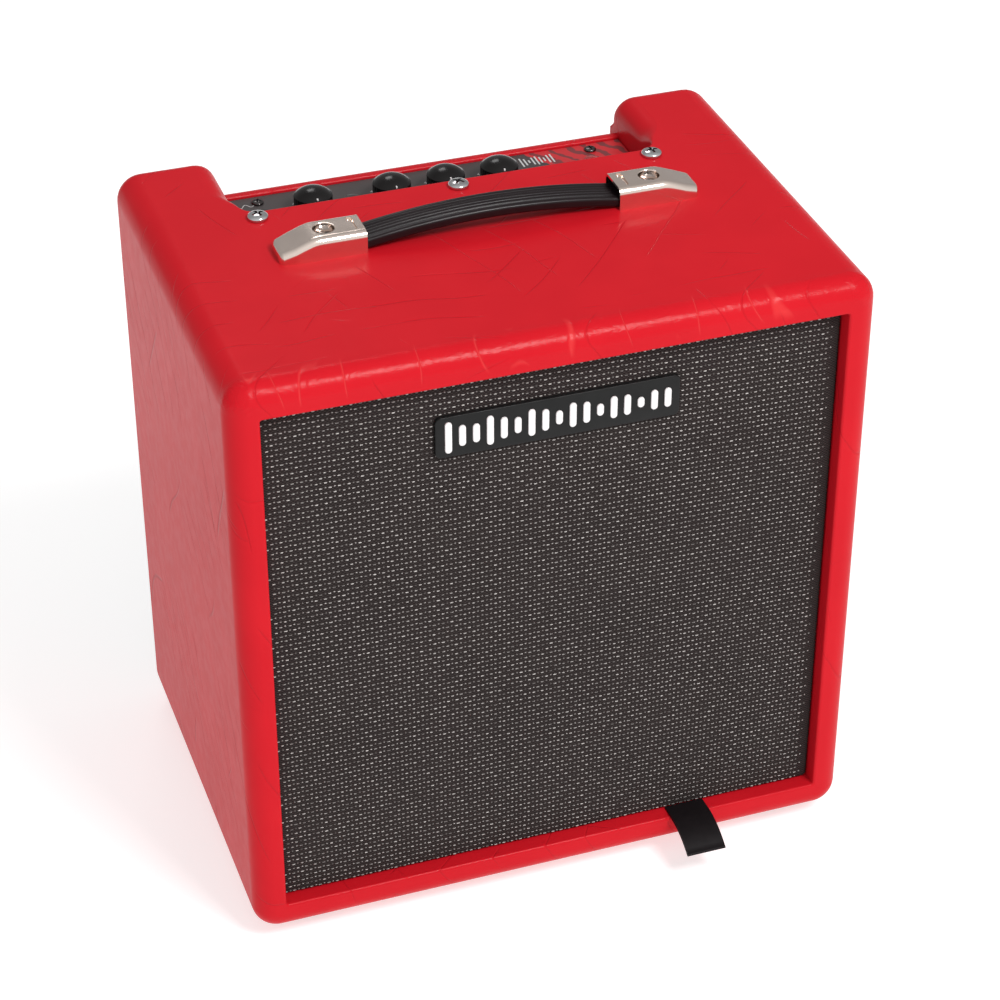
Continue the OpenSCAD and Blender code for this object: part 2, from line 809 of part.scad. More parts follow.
module mini_jacks() {
    color("#222222") for (x = mini_x) translate([x, controls_y, web_z]) difference() {
        union() {
            translate([-4.5, -5, -13.4]) cube([9, 10, 13.4]);
            cylinder(h = panel_z - web_z + 2.5, r = 3);
            translate([0, 0, panel_z - web_z]) cylinder(h = 1.8, r = 4);
        }
        translate([0, 0, -12]) cylinder(h = 30, r = 1.8);
    }
}

module power_led() {
    color("red") translate([led_x, controls_y, web_z - 6]) {
        cylinder(h = panel_z - web_z + 6, r = 2.4);
        intersection() {
            translate([0, 0, panel_z - web_z + 6]) sphere(2.4);
            translate([-5, -5, 0]) cube([10, 10, 20]);
        }
    }
}

module dc_socket() {
    color("#222222") translate([dc_x, controls_y, web_z]) {
        difference() {
            union() {
                translate([-4.6, -6, -12]) cube([9.2, 12, 12]);
                cylinder(h = panel_z - web_z + 2, r = 4);
                translate([0, 0, panel_z - web_z]) cylinder(h = 1.5, r = 5.4);
            }
            translate([0, 0, -9]) cylinder(h = 30, r = 2.8);
        }
        translate([0, 0, -9.5]) cylinder(h = 11, r = 1);
    }
}

// ---------- handle ----------

// Draws a child written for the right hand end at its place on the chosen side.
// In the child, +X runs from the strap towards the toe and the mouth is at x = 0.
module at_handle_end(side) {
    translate([handle_x, handle_y, top_z]) mirror([side < 0 ? 1 : 0, 0, 0])
        translate([half_mouth, 0, 0]) children();
}

module cap_profile(inset, start, end, floor_h) {
    bend = 24 - inset;
    toe_h = 3 - inset;
    polygon([[start, floor_h], [end, floor_h], [end, toe_h + (cap_len - end) * 0.45],
        [bend, cap_h - inset], [start, cap_h - inset]]);
}

module handle_cap(side) {
    wall = 1.2;
    color("silver") at_handle_end(side) difference() {
        union() {
            difference() {
                intersection() {
                    rotate([90, 0, 0]) linear_extrude(cap_w, center = true)
                        cap_profile(0, 0, cap_len, 0);
                    translate([cap_len / 2 - 10, 0, -1]) linear_extrude(cap_h + 2)
                        round_rect(cap_len + 20, cap_w, 7.5);
                }
                rotate([90, 0, 0]) linear_extrude(cap_w - 2 * wall, center = true)
                    cap_profile(wall, -1, 33, -1);
            }
            translate([cap_hole, 0, boss_low]) cylinder(h = cap_h - boss_low - 0.5, r = 6.5);
            translate([cap_hole, 0, 0]) cylinder(h = boss_low + 1, r = 3.5);
        }
        translate([cap_hole, 0, -1]) cylinder(h = cap_h + 2, r = 2.4);
        translate([cap_hole, 0, seat_h]) cylinder(h = cap_h, r = 5);
        translate([4.6, 0, cap_h - 0.6]) linear_extrude(1) round_rect(2.4, 12, 1.1);
    }
}

module handle_cap_left() { handle_cap(-1); }
module handle_cap_right() { handle_cap(1); }

module handle_screws() {
    color("silver") for (side = [-1, 1]) at_handle_end(side)
        translate([cap_hole, 0, seat_h]) rotate(30) pan_screw(4.5, 2.8, 2.1, 24);
}

// Half of the strap: a curved run outside the cap and a straight end inside it
module strap_half(side) {
    gap = 0.5;
    reach = asin(half_mouth / strap_radius);
    start = asin(gap / strap_radius);
    color("#1a1a1a") at_handle_end(side) difference() {
        union() {
            translate([-half_mouth, 0, strap_low + strap_rise - strap_radius])
                rotate([90, 0, 0]) rotate(90 - reach) rotate_extrude(angle = reach - start)
                    translate([strap_radius, -strap_w / 2]) square([strap_t, strap_w]);
            translate([-1, -strap_w / 2, strap_low]) cube([strap_end + 1, strap_w, strap_t]);
        }
        translate([0, -7, core_low]) cube([30, 14, core_t]);
    }
}

module strap_left() { strap_half(-1); }
module strap_right() { strap_half(1); }

// Steel strip moulded into each strap end, slotted where it slides past the cap's boss
module strap_core(side) {
    slot_w = 8;
    slide = 3.4;
    color("gray") at_handle_end(side) translate([0, 0, core_low]) difference() {
        translate([0, -7, 0]) cube([cap_hole + 8.6, 14, core_t]);
        translate([cap_hole, 0, -1]) linear_extrude(core_t + 2)
            round_rect(slot_w + 2 * slide, slot_w, slot_w / 2 - 0.01);
    }
}

module strap_core_left() { strap_core(-1); }
module strap_core_right() { strap_core(1); }

stand() left_side_board();
stand() right_side_board();
stand() top_board();
stand() bottom_board();
stand() rear_rail();
stand() recess_cheeks();
stand() vinyl_covering();
stand() baffle_board();
stand() battens();
stand() back_panel();
stand() back_screws();
stand() rubber_feet();
stand() foot_screws();
stand() grille_frame();
stand() grille_cloth();
stand() pull_tab();
stand() badge_plate();
stand() badge_bars();
stand() speaker_basket();
stand() speaker_gasket();
stand() speaker_cone();
stand() speaker_surround();
stand() dust_cap();
stand() voice_coil();
stand() spider();
stand() speaker_magnet();
stand() magnet_plates();
stand() speaker_screws();
stand() speaker_lead();
stand() chassis();
stand() chassis_screws();
stand() control_panel();
stand() panel_screws();
stand() circuit_board();
stand() board_standoffs();
stand() pot_bodies();
stand() pot_nuts();
stand() gain_knob();
stand() drive_knob();
stand() tone_knob();
stand() level_knob();
stand() gain_shaft();
stand() drive_shaft();
stand() tone_shaft();
stand() level_shaft();
stand() voice_button();
stand() voice_switch();
stand() power_button();
stand() power_switch();
stand() input_jack();
stand() mini_jacks();
stand() power_led();
stand() dc_socket();
stand() handle_cap_left();
stand() handle_cap_right();
stand() handle_screws();
stand() strap_left();
stand() strap_right();
stand() strap_core_left();
stand() strap_core_right();
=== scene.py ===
"""Looks of the small combo amplifier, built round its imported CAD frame. All lengths are in metres."""

import json
import math

import bmesh
import bpy
import numpy as np
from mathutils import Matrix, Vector


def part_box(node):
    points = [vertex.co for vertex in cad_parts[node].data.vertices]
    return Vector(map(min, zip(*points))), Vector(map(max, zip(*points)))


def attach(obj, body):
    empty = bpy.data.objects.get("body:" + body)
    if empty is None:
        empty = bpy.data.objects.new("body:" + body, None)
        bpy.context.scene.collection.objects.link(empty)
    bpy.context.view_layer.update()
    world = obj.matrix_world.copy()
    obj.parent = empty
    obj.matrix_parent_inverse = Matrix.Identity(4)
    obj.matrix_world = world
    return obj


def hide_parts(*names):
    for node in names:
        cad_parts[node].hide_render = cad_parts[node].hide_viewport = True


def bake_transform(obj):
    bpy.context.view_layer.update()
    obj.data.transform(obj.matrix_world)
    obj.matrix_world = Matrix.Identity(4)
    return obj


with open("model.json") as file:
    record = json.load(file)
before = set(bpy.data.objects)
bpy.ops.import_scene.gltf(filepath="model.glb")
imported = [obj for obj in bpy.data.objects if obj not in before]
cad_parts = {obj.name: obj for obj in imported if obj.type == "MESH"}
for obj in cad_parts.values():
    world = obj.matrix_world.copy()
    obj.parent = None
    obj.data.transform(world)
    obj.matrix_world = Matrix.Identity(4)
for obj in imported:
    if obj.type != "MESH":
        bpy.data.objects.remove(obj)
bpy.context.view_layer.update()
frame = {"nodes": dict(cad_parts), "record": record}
MM = 0.001


# ---------- places, all read from the frame ----------

cover_lo, cover_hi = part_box("vinyl_covering")
grille_lo, grille_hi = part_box("grille_cloth")
panel_lo, panel_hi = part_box("control_panel")
rail_lo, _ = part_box("rear_rail")
front, back, top, base = cover_lo.y, cover_hi.y, cover_hi.z, cover_lo.z
half_w = cover_hi.x
vinyl_t = 0.8 * MM
panel_gap = 0.4 * MM  # beside and behind the control panel
grille_gap = 0.5 * MM  # round the grille
recess_half = panel_hi.x + panel_gap
recess_front = panel_lo.y - 1.5 * MM
rail_y = panel_hi.y + panel_gap
rail_top = panel_hi.z + 1.3 * MM
open_half = grille_hi.x + grille_gap
open_lo = grille_lo.z - grille_gap
open_hi = grille_hi.z + grille_gap
back_open_hi = rail_lo.z - vinyl_t


# ---------- mesh tools ----------

def link(name, mesh):
    o = bpy.data.objects.new(name, mesh)
    bpy.context.scene.collection.objects.link(o)
    return o


def smooth(mesh, angle=32):
    mesh.shade_smooth()
    mesh.set_sharp_from_angle(angle=math.radians(angle))


def solid(name, verts, faces, angle=32):
    """A mesh object with doubled points merged, normals outward and sharp edges by angle."""
    mesh = bpy.data.meshes.new(name)
    mesh.from_pydata([tuple(v) for v in verts], [], faces)
    bm = bmesh.new()
    bm.from_mesh(mesh)
    bmesh.ops.remove_doubles(bm, verts=bm.verts, dist=1e-6)
    bmesh.ops.recalc_face_normals(bm, faces=bm.faces)
    bm.to_mesh(mesh)
    bm.free()
    smooth(mesh, angle)
    return link(name, mesh)


def flat_faces(o):
    """Keeps large faces flat in the shading beside their roundovers."""
    m = o.modifiers.new("flat", "WEIGHTED_NORMAL")
    m.keep_sharp, m.weight = True, 100


def evaluated_mesh(o):
    bpy.context.view_layer.update()
    return bpy.data.meshes.new_from_object(o.evaluated_get(bpy.context.evaluated_depsgraph_get()))


def apply_modifiers(o):
    made = evaluated_mesh(o)
    o.modifiers.clear()
    o.data = made


def carve(o, cutter, operation="DIFFERENCE"):
    m = o.modifiers.new("carve", "BOOLEAN")
    m.operation, m.object, m.solver = operation, cutter, "EXACT"
    apply_modifiers(o)
    bpy.data.objects.remove(cutter)
    return o


def loft(rings, cap_first=True, cap_last=True, closed=True):
    """Points and faces of a skin through rings that have as many points each."""
    n, faces = len(rings[0]), []
    for i in range(len(rings) - 1):
        for k in range(n if closed else n - 1):
            j = (k + 1) % n
            faces.append((i * n + k, i * n + j, (i + 1) * n + j, (i + 1) * n + k))
    if cap_first:
        faces.append(tuple(range(n - 1, -1, -1)))
    if cap_last:
        faces.append(tuple((len(rings) - 1) * n + k for k in range(n)))
    return [p for r in rings for p in r], faces


def turned(profile, n=64):
    """Points and faces of a (radius, height) profile turned about Z."""
    turns = [2 * math.pi * k / n for k in range(n)]
    rings = [[(r * math.cos(a), r * math.sin(a), z) for a in turns] for r, z in profile]
    return loft(rings, False, False)


def lathe(name, profile, at, n):
    verts, faces = turned(profile, n)
    return solid(name, [(x + at[0], y + at[1], z + at[2]) for x, y, z in verts], faces)


# Faces of a solid with four points below and the same four above
PRISM = [(3, 2, 1, 0), (4, 5, 6, 7), (0, 1, 5, 4), (1, 2, 6, 5), (2, 3, 7, 6), (3, 0, 4, 7)]


def block(lo, hi):
    """Points and faces of an upright block between two corners."""
    verts = [(x, y, z) for x in (lo[0], hi[0]) for y in (lo[1], hi[1]) for z in (lo[2], hi[2])]
    faces = [(0, 1, 3, 2), (4, 6, 7, 5), (0, 4, 5, 1), (2, 3, 7, 6), (0, 2, 6, 4), (1, 5, 7, 3)]
    return verts, faces


def merged(name, objects):
    """One object from several, with their shapes as they stand."""
    bm = bmesh.new()
    for o in objects:
        mesh = o.data.copy()
        mesh.transform(o.matrix_world)
        bm.from_mesh(mesh)
        bpy.data.meshes.remove(mesh)
        bpy.data.objects.remove(o)
    mesh = bpy.data.meshes.new(name)
    bm.to_mesh(mesh)
    bm.free()
    return link(name, mesh)


def arc(n, a0=0.0, a1=90.0):
    """Angles in radians, n steps from a0 to a1 degrees."""
    return [math.radians(a0 + (a1 - a0) * k / n) for k in range(n + 1)]


# ---------- shader tools ----------

class Shader:
    """A Principled material whose nodes are added with short calls."""

    def __init__(self, name, color, rough, metal=0.0, **extra):
        self.material = bpy.data.materials.new(name)
        self.material.use_nodes = True
        self.tree = self.material.node_tree
        self.bsdf = self.tree.nodes["Principled BSDF"]
        fixed = {"Base Color": (*color, 1.0), "Roughness": rough, "Metallic": metal, **extra}
        for socket, value in fixed.items():
            self.bsdf.inputs[socket].default_value = value
        self.at = self.add("ShaderNodeTexCoord").outputs["Object"]
        self.normal = None

    def add(self, kind, inputs=None, **props):
        node = self.tree.nodes.new(kind)
        for k, v in props.items():
            setattr(node, k, v)
        for k, v in (inputs or {}).items():
            self.put(node.inputs[k], v)
        return node

    def put(self, socket, value):
        if isinstance(value, bpy.types.NodeSocket):
            self.tree.links.new(value, socket)
        else:
            socket.default_value = value

    def mapped(self, scale=(1, 1, 1), turn=(0, 0, 0), shift=(0, 0, 0)):
        """Coordinates turned and shifted first, then scaled along the turned axes."""
        angles = tuple(math.radians(a) for a in turn)
        placed = self.add("ShaderNodeMapping", {"Vector": self.at, "Location": shift, "Rotation": angles})
        inputs = {"Vector": placed.outputs["Vector"], "Scale": scale}
        return self.add("ShaderNodeMapping", inputs).outputs["Vector"]

    def noise(self, scale, detail=2.0, at=None, rough=0.5, warp=0.0):
        inputs = {"Vector": at or self.at, "Scale": scale, "Detail": detail}
        inputs.update({"Roughness": rough, "Distortion": warp})
        return self.add("ShaderNodeTexNoise", inputs).outputs["Fac"]

    def calc(self, operation, a, b=0.0, clamp=False):
        node = self.add("ShaderNodeMath", operation=operation, use_clamp=clamp)
        self.put(node.inputs[0], a)
        self.put(node.inputs[1], b)
        return node.outputs[0]

    def times(self, a, b):
        return self.calc("MULTIPLY", a, b)

    def ramp(self, value, low, high, to_low=0.0, to_high=1.0):
        """A soft step from to_low at low to to_high at high."""
        inputs = {"Value": value, "From Min": low, "From Max": high, "To Min": to_low, "To Max": to_high}
        return self.add("ShaderNodeMapRange", inputs, interpolation_type="SMOOTHSTEP").outputs["Result"]

    def toward(self, direction):
        """Distance along one direction."""
        node = self.add("ShaderNodeVectorMath", {0: self.at, 1: direction}, operation="DOT_PRODUCT")
        return node.outputs["Value"]

    def axis(self, letter):
        return self.add("ShaderNodeSeparateXYZ", {"Vector": self.at}).outputs[letter]

    def mix(self, fac, a, b):
        node = self.add("ShaderNodeMix", data_type="RGBA")
        fac_in, color_a, color_b = (node.inputs[k] for k in (0, 6, 7))
        self.put(fac_in, fac)
        for socket, value in ((color_a, a), (color_b, b)):
            self.put(socket, value if isinstance(value, bpy.types.NodeSocket) else (*value, 1.0))
        return node.outputs[2]

    def bump(self, height, distance, strength=1.0):
        inputs = {"Height": height, "Distance": distance, "Strength": strength}
        if self.normal is not None:
            inputs["Normal"] = self.normal
        self.normal = self.add("ShaderNodeBump", inputs).outputs["Normal"]

    def finish(self, color=None, rough=None):
        if color is not None:
            self.put(self.bsdf.inputs["Base Color"], color)
        if rough is not None:
            self.put(self.bsdf.inputs["Roughness"], rough)
        if self.normal is not None:
            self.put(self.bsdf.inputs["Normal"], self.normal)
            if self.bsdf.inputs["Coat Weight"].default_value > 0:
                self.put(self.bsdf.inputs["Coat Normal"], self.normal)
        return self.material


# Four families of creases: direction across them, spacing, shift of the pattern, and how rare they are
CREASES = (
    ((0.05, 0.70, -0.71), 13 * MM, (0.31, 1.7, 0.4), 0.55),
    ((0.22, 0.88, -0.42), 19 * MM, (0.3, 5.2, 2.4), 0.56),
    ((0.66, -0.62, 0.42), 17 * MM, (7.3, 0.6, 4.1), 0.56),
    ((0.93, 0.30, 0.20), 23 * MM, (2.2, 8.1, 6.3), 0.57),
)
CREASE_HALF = 0.5 * MM
CREASE_WANDER = 34 * MM


def vinyl_creases(s):
    """Long stray lines, 1 where a crease runs and 0 elsewhere."""
    creases = None
    for across, gap, shift, rare in CREASES:
        bend = s.times(s.noise(7, 2.0, s.mapped(shift=shift)), CREASE_WANDER)
        place = s.calc("DIVIDE", s.calc("ADD", s.toward(across), bend), gap)
        line = s.calc("ABSOLUTE", s.calc("SUBTRACT", s.calc("FRACT", place), 0.5))
        line = s.ramp(line, 0.0, CREASE_HALF / gap, 1.0, 0.0)
        where = s.ramp(s.noise(19, 1.0, s.mapped(shift=shift[::-1])), rare, rare + 0.07)
        line = s.times(line, where)
        creases = line if creases is None else s.calc("MAXIMUM", creases, line)
    return creases


def vinyl():
    """Embossed red vinyl: fine grain, stray creases with painted shade along them, and marks where it wraps
    the front top edge.
    """
    gloss = {"Specular IOR Level": 0.02, "Coat Weight": 0.2, "Coat Roughness": 0.2, "Coat IOR": 1.4}
    s = Shader("red_vinyl", (0.62, 0.012, 0.02), 0.4, **gloss)
    creases = vinyl_creases(s)
    side = s.calc("ABSOLUTE", s.axis("X"))
    edge = s.times(
        s.ramp(s.axis("Y"), front + 7 * MM, front + 15 * MM, 1.0, 0.0),
        s.ramp(s.axis("Z"), top - 14 * MM, top - 8 * MM),
    )
    wraps = s.noise(46, 1.0, s.mapped((1.0, 0.22, 0.22), (0, 14, 9)), 0.4)
    marks = s.calc("ABSOLUTE", s.calc("SUBTRACT", wraps, 0.5))
    marks = s.times(s.ramp(marks, 0.0, 0.012, 1.0, 0.0), edge)
    corner = s.times(edge, s.ramp(side, half_w - 18 * MM, half_w - 9 * MM))
    crumple = s.calc("ADD", s.times(corner, 1.1), s.times(edge, 0.55))
    s.bump(s.times(s.noise(230, 3.0, None, 0.6, 0.8), crumple), 0.8 * MM, 0.6)
    s.bump(s.calc("MAXIMUM", creases, marks), -0.4 * MM, 0.5)
    s.bump(s.noise(620, 3.0, None, 0.6), 0.12 * MM, 0.15)
    tone = s.ramp(s.noise(26, 2.0), 0.35, 0.7)
    color = s.mix(tone, (0.545, 0.0085, 0.0160), (0.570, 0.0095, 0.0172))
    # Painted shade: the creases are darkened towards a deep red, more strongly near the cabinet's sides
    crease_shade_on_sides = s.ramp(side, half_w - 5 * MM, half_w - 1 * MM, 0.12, 0.32)
    color = s.mix(s.times(creases, crease_shade_on_sides), color, (0.16, 0.005, 0.009))
    color = s.mix(s.times(marks, 0.25), color, (0.85, 0.10, 0.09))
    return s.finish(color, s.ramp(s.noise(160, 3.0), 0.3, 0.7, 0.36, 0.41))


# Silver floats of the grille cloth: long to long along a row, and row to row
FLECK_PITCH = 4.26 * MM
FLECK_ROW = 2.71 * MM


def cloth_base():
    """Dark woven ground of the grille cloth."""
    s = Shader("grille_weave", (0.05, 0.04, 0.04), 0.85, **{"Specular IOR Level": 0.12})
    warp = s.calc("SINE", s.times(s.axis("X"), 2 * math.pi / (FLECK_PITCH / 2)))
    weft = s.calc("SINE", s.times(s.axis("Z"), 2 * math.pi / (FLECK_ROW / 2)))
    weave = s.ramp(s.times(warp, weft), -1.0, 1.0)
    s.bump(weave, 0.35 * MM, 0.8)
    patch = s.ramp(s.noise(24, 2.0), 0.35, 0.65, 0.0, 0.05)
    tone = s.calc("ADD", s.times(weave, 0.8), patch, clamp=True)
    return s.finish(s.mix(tone, (0.010, 0.0075, 0.0075), (0.046, 0.035, 0.033)))


def plain(name, color, rough, metal=0.0, grain=0.0, grain_scale=500.0, spread=0.06, mottle=1.0, **extra):
    """One finish with slight shifts in tone and gloss, and a fine grain."""
    s = Shader(name, color, rough, metal, **extra)
    fac = s.ramp(s.noise(90, 3.0), 0.3, 0.7)
    dark = tuple(c * (1 - spread * 2) for c in color)
    light = tuple(min(1.0, c * (1 + spread * 2)) for c in color)
    if grain:
        s.bump(s.noise(grain_scale, 3.0), grain * MM, 0.5)
    low, high = max(0.02, rough - 0.05 * mottle), min(1.0, rough + 0.06 * mottle)
    gloss = s.ramp(s.noise(140, 2.0), 0.3, 0.7, low, high)
    return s.finish(s.mix(fac, dark, light), gloss)


def wood(name, dark, light, scale):
    """Bare board with a streaked grain along Y."""
    s = Shader(name, light, 0.65)
    rings = s.noise(scale, 5.0, s.mapped((1, 0.15, 1)), 0.6, 0.4)
    s.bump(s.noise(900, 2.0), 0.1 * MM, 0.4)
    return s.finish(s.mix(s.ramp(rings, 0.3, 0.7), dark, light))


def brushed(name, color, rough, along):
    """Bare metal whose gloss is streaked; along holds the streaks per metre on each axis."""
    s = Shader(name, color, rough, 1.0)
    streaks = s.noise(1.0, 4.0, s.mapped(along), 0.6)
    s.bump(streaks, 0.02 * MM, 0.25)
    return s.finish(None, s.ramp(streaks, 0.3, 0.7, rough - 0.08, rough + 0.1))


def ribbon_finish():
    """Black woven ribbon with fine ribs along its length."""
    s = Shader("ribbon", (0.008, 0.006, 0.007), 0.5, **{"Specular IOR Level": 0.14})
    ribs = s.calc("SINE", s.times(s.axis("X"), 2 * math.pi / (0.5 * MM)))
    s.bump(ribs, 0.03 * MM, 0.35)
    return s.finish(s.mix(s.noise(300), (0.004, 0.003, 0.0035), (0.010, 0.007, 0.008)))


def panel_finish():
    """Dark grey print with a red field at the right hand end, broken by slanting strokes."""
    s = Shader("panel_paint", (0.05, 0.042, 0.042), 0.4, **{"Specular IOR Level": 0.35})
    slant = s.calc("ADD", s.axis("X"), s.times(s.axis("Y"), 0.6))
    slant = s.calc("ADD", slant, s.times(s.noise(120, 2.0), 0.012))
    stroke_pitch, field_start = 9 * MM, 63 * MM + 0.6 * (rail_y - 8 * MM)
    field = s.ramp(slant, field_start, field_start + 0.5 * MM)
    strokes = s.ramp(s.calc("SINE", s.times(slant, 2 * math.pi / stroke_pitch)), 0.25, 0.4)
    red = s.mix(s.times(strokes, 0.75), (0.50, 0.016, 0.022), (0.06, 0.03, 0.032))
    s.bump(s.noise(700, 2.0), 0.05 * MM, 0.3)
    grey = s.mix(s.noise(60), (0.042, 0.034, 0.034), (0.054, 0.044, 0.044))
    return s.finish(s.mix(field, grey, red))


FINISHES = {
    "mdf": wood("mdf", (0.42, 0.28, 0.17), (0.55, 0.39, 0.25), 400),
    "softwood": wood("softwood", (0.52, 0.33, 0.17), (0.72, 0.53, 0.32), 160),
    "red_vinyl": vinyl(),
    "black_back": plain("black_back", (0.022, 0.022, 0.024), 0.55, grain=0.25, grain_scale=900),
    "zinc_screw": plain("zinc_screw", (0.62, 0.62, 0.60), 0.28, 1.0),
    "chrome_screw": plain("chrome_screw", (0.60, 0.60, 0.61), 0.12, 1.0, spread=0.02),
    "black_screw": plain("black_screw", (0.10, 0.09, 0.09), 0.25, 1.0),
    "rubber": plain("rubber", (0.02, 0.02, 0.021), 0.7, grain=0.1, grain_scale=1200),
    "grille_weave": cloth_base(),
    "ribbon": ribbon_finish(),
    "badge_black": plain("badge_black", (0.008, 0.008, 0.008), 0.4, **{"Specular IOR Level": 0.2}),
    "badge_silver": plain("badge_silver", (0.80, 0.77, 0.77), 0.3, spread=0.01),
    "basket_paint": plain("basket_paint", (0.02, 0.02, 0.022), 0.45, grain=0.08),
    "gasket_card": plain("gasket_card", (0.19, 0.16, 0.14), 0.85, grain=0.2),
    "cone_paper": plain("cone_paper", (0.045, 0.045, 0.048), 0.8, grain=0.3, grain_scale=700),
    "surround_rubber": plain("surround_rubber", (0.025, 0.025, 0.025), 0.6),
    "coil_copper": brushed("coil_copper", (0.75, 0.36, 0.18), 0.35, (50, 4000, 50)),
    "spider_cloth": plain("spider_cloth", (0.55, 0.36, 0.13), 0.85, grain=0.2),
    "ferrite": plain("ferrite", (0.06, 0.06, 0.065), 0.55, grain=0.1),
    "plated_steel": brushed("plated_steel", (0.60, 0.61, 0.60), 0.35, (60, 900, 60)),
    "panel_paint": panel_finish(),
    "board_green": plain("board_green", (0.012, 0.10, 0.04), 0.4),
    "standoff_brass": brushed("standoff_brass", (0.75, 0.55, 0.22), 0.3, (300, 300, 2000)),
    "knob_black": plain("knob_black", (0.006, 0.005, 0.005), 0.2, spread=0.03, **{"Specular IOR Level": 0.3}),
    "shaft_aluminium": brushed("shaft_aluminium", (0.75, 0.75, 0.76), 0.3, (300, 300, 2500)),
    "button_black": plain("button_black", (0.02, 0.02, 0.02), 0.3),
    "button_red": plain("button_red", (0.35, 0.01, 0.012), 0.3),
    "socket_black": plain("socket_black", (0.02, 0.02, 0.02), 0.45, grain=0.05),
    "led_red": plain("led_red", (0.55, 0.01, 0.01), 0.12, **{"Transmission Weight": 0.35}),
    "cap_nickel": plain("cap_nickel", (0.88, 0.745, 0.665), 0.17, 1.0, spread=0.01, mottle=0.3),
    "strap_rubber": plain(
        "strap_rubber", (0.010, 0.006, 0.007), 0.3, mottle=0.3, **{"Specular IOR Level": 0.22}
    ),
    "core_steel": brushed("core_steel", (0.55, 0.56, 0.57), 0.32, (900, 60, 60)),
    "lead_red": plain("lead_red", (0.42, 0.012, 0.012), 0.4),
}


def painted(o, slot, body, *nodes):
    """Gives a new piece the finish of its slot, puts it under its body and hides the CAD nodes that it stands
    for.
    """
    o.data.materials.clear()
    o.data.materials.append(FINISHES[slot])
    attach(o, body)
    if nodes:
        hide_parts(*nodes)


def finish_nodes():
    """Gives every carried-over CAD node the finish of its slot."""
    for row in frame["record"]["subparts"]:
        o = frame["nodes"][row["node"]]
        o.data.materials.clear()
        o.data.materials.append(FINISHES[row["material_slot"]])
        smooth(o.data, 30)


# ---------- cabinet ----------

LONG_R = 12.7 * MM
EDGE_R = 10.3 * MM
LIP_R = 1.4 * MM
FRONT_POCKET = 14 * MM
BACK_POCKET = 11 * MM
RECESS_DEPTH = 24 * MM


def rect_ring(half, low, high, r, y, n=8):
    """Points round an upright rectangle with rounded corners, in the plane at y."""
    centres = [
        (half - r, low + r, -90),
        (half - r, high - r, 0),
        (r - half, high - r, 90),
        (r - half, low + r, 180),
    ]
    return [
        (cx + r * math.cos(a), y, cz + r * math.sin(a))
        for cx, cz, a0 in centres
        for a in arc(n, a0, a0 + 90)
    ]


def cabinet_body():
    """The covered box before the recess: front pocket, rounded edges, sides and back pocket."""
    def outer(inset, y):
        return rect_ring(half_w - inset, base + inset, top - inset, LONG_R - inset, y)

    def inner(grow, high, y):
        return rect_ring(open_half + grow, open_lo - grow, high + grow, 1.2 * MM + grow, y)

    rings = [inner(0, open_hi, front + FRONT_POCKET)]
    for a in arc(5):
        rings.append(inner(LIP_R * (1 - math.cos(a)), open_hi, front + LIP_R * (1 - math.sin(a))))
    for a in arc(12):
        rings.append(outer(EDGE_R * (1 - math.sin(a)), front + EDGE_R * (1 - math.cos(a))))
    for a in arc(12):
        rings.append(outer(EDGE_R * (1 - math.cos(a)), back - EDGE_R * (1 - math.sin(a))))
    for a in arc(5):
        rings.append(inner(LIP_R * (1 - math.sin(a)), back_open_hi, back - LIP_R * (1 - math.cos(a))))
    rings.append(inner(0, back_open_hi, back - BACK_POCKET))
    return solid("vinyl", *loft(rings))


def recess_stations():
    """Along the recess: x, y, outward direction, bottom height, and how far the ear's top has come down."""
    r, corner, thin = 9 * MM, 6 * MM, 0.9 * MM
    floor = top - RECESS_DEPTH
    stations = []
    for a in arc(8):  # the round front corner
        x, y = recess_half - r + r * math.sin(a), recess_front + r - r * math.cos(a)
        stations.append((x, y, math.sin(a), -math.cos(a), floor, 0))
    ys = [recess_front + r + k * 3 * MM for k in range(1, 7)] + [rail_y - 6 * MM]
    stations += [(recess_half, y, 1, 0, floor, 0) for y in ys if y < rail_y]
    stations.append((recess_half, rail_y, 1, 0, floor, 0))
    for a in arc(3):  # up over the rear rail
        y, low = rail_y + thin * (1 - math.cos(a)), rail_top - thin * (1 - math.sin(a))
        stations.append((recess_half, y, 1, 0, low, 0))
    for a in arc(9, 0, 88):  # down over the rear edge
        y = back - EDGE_R * (1 - math.sin(a))
        over = max(0.0, y - (back - corner))
        wider = corner - math.sqrt(max(0.0, corner**2 - over**2))
        drop = EDGE_R * (1 - math.cos(a))
        stations.append((recess_half + wider, y, 1, 0, rail_top - drop, drop))
    last = stations[-1]
    stations.append((last[0], back + 8 * MM, 1, 0, *last[4:]))
    return stations


def recess_cutter():
    """The space of the recess, flared where the ears round over and raised over the rear rail."""
    ear, thin = 10 * MM, 0.9 * MM
    rings = []
    for x, y, nx, ny, low, drop in recess_stations():
        grown = min(1.0, max(0.0, (y - recess_front - 5 * MM) / (20 * MM)))
        flare = thin + (ear - thin) * grown * grown * (3 - 2 * grown)
        flare = min(flare, top - drop - rail_top - 4.5 * MM)
        narrow = min(0, recess_half - x) if drop else 0
        side = [(narrow, low), (narrow, rail_top), (0, rail_top + 4 * MM)]
        side += [(flare * (1 - math.cos(a)), top - drop - flare * (1 - math.sin(a))) for a in arc(8, 0, 88)]
        side.append((side[-1][0], top + 6 * MM))
        right = [(x + o * nx, y + o * ny, z) for o, z in side]
        rings.append(right + [(-px, py, pz) for px, py, pz in reversed(right)])
    return solid("cutter", *loft(rings))


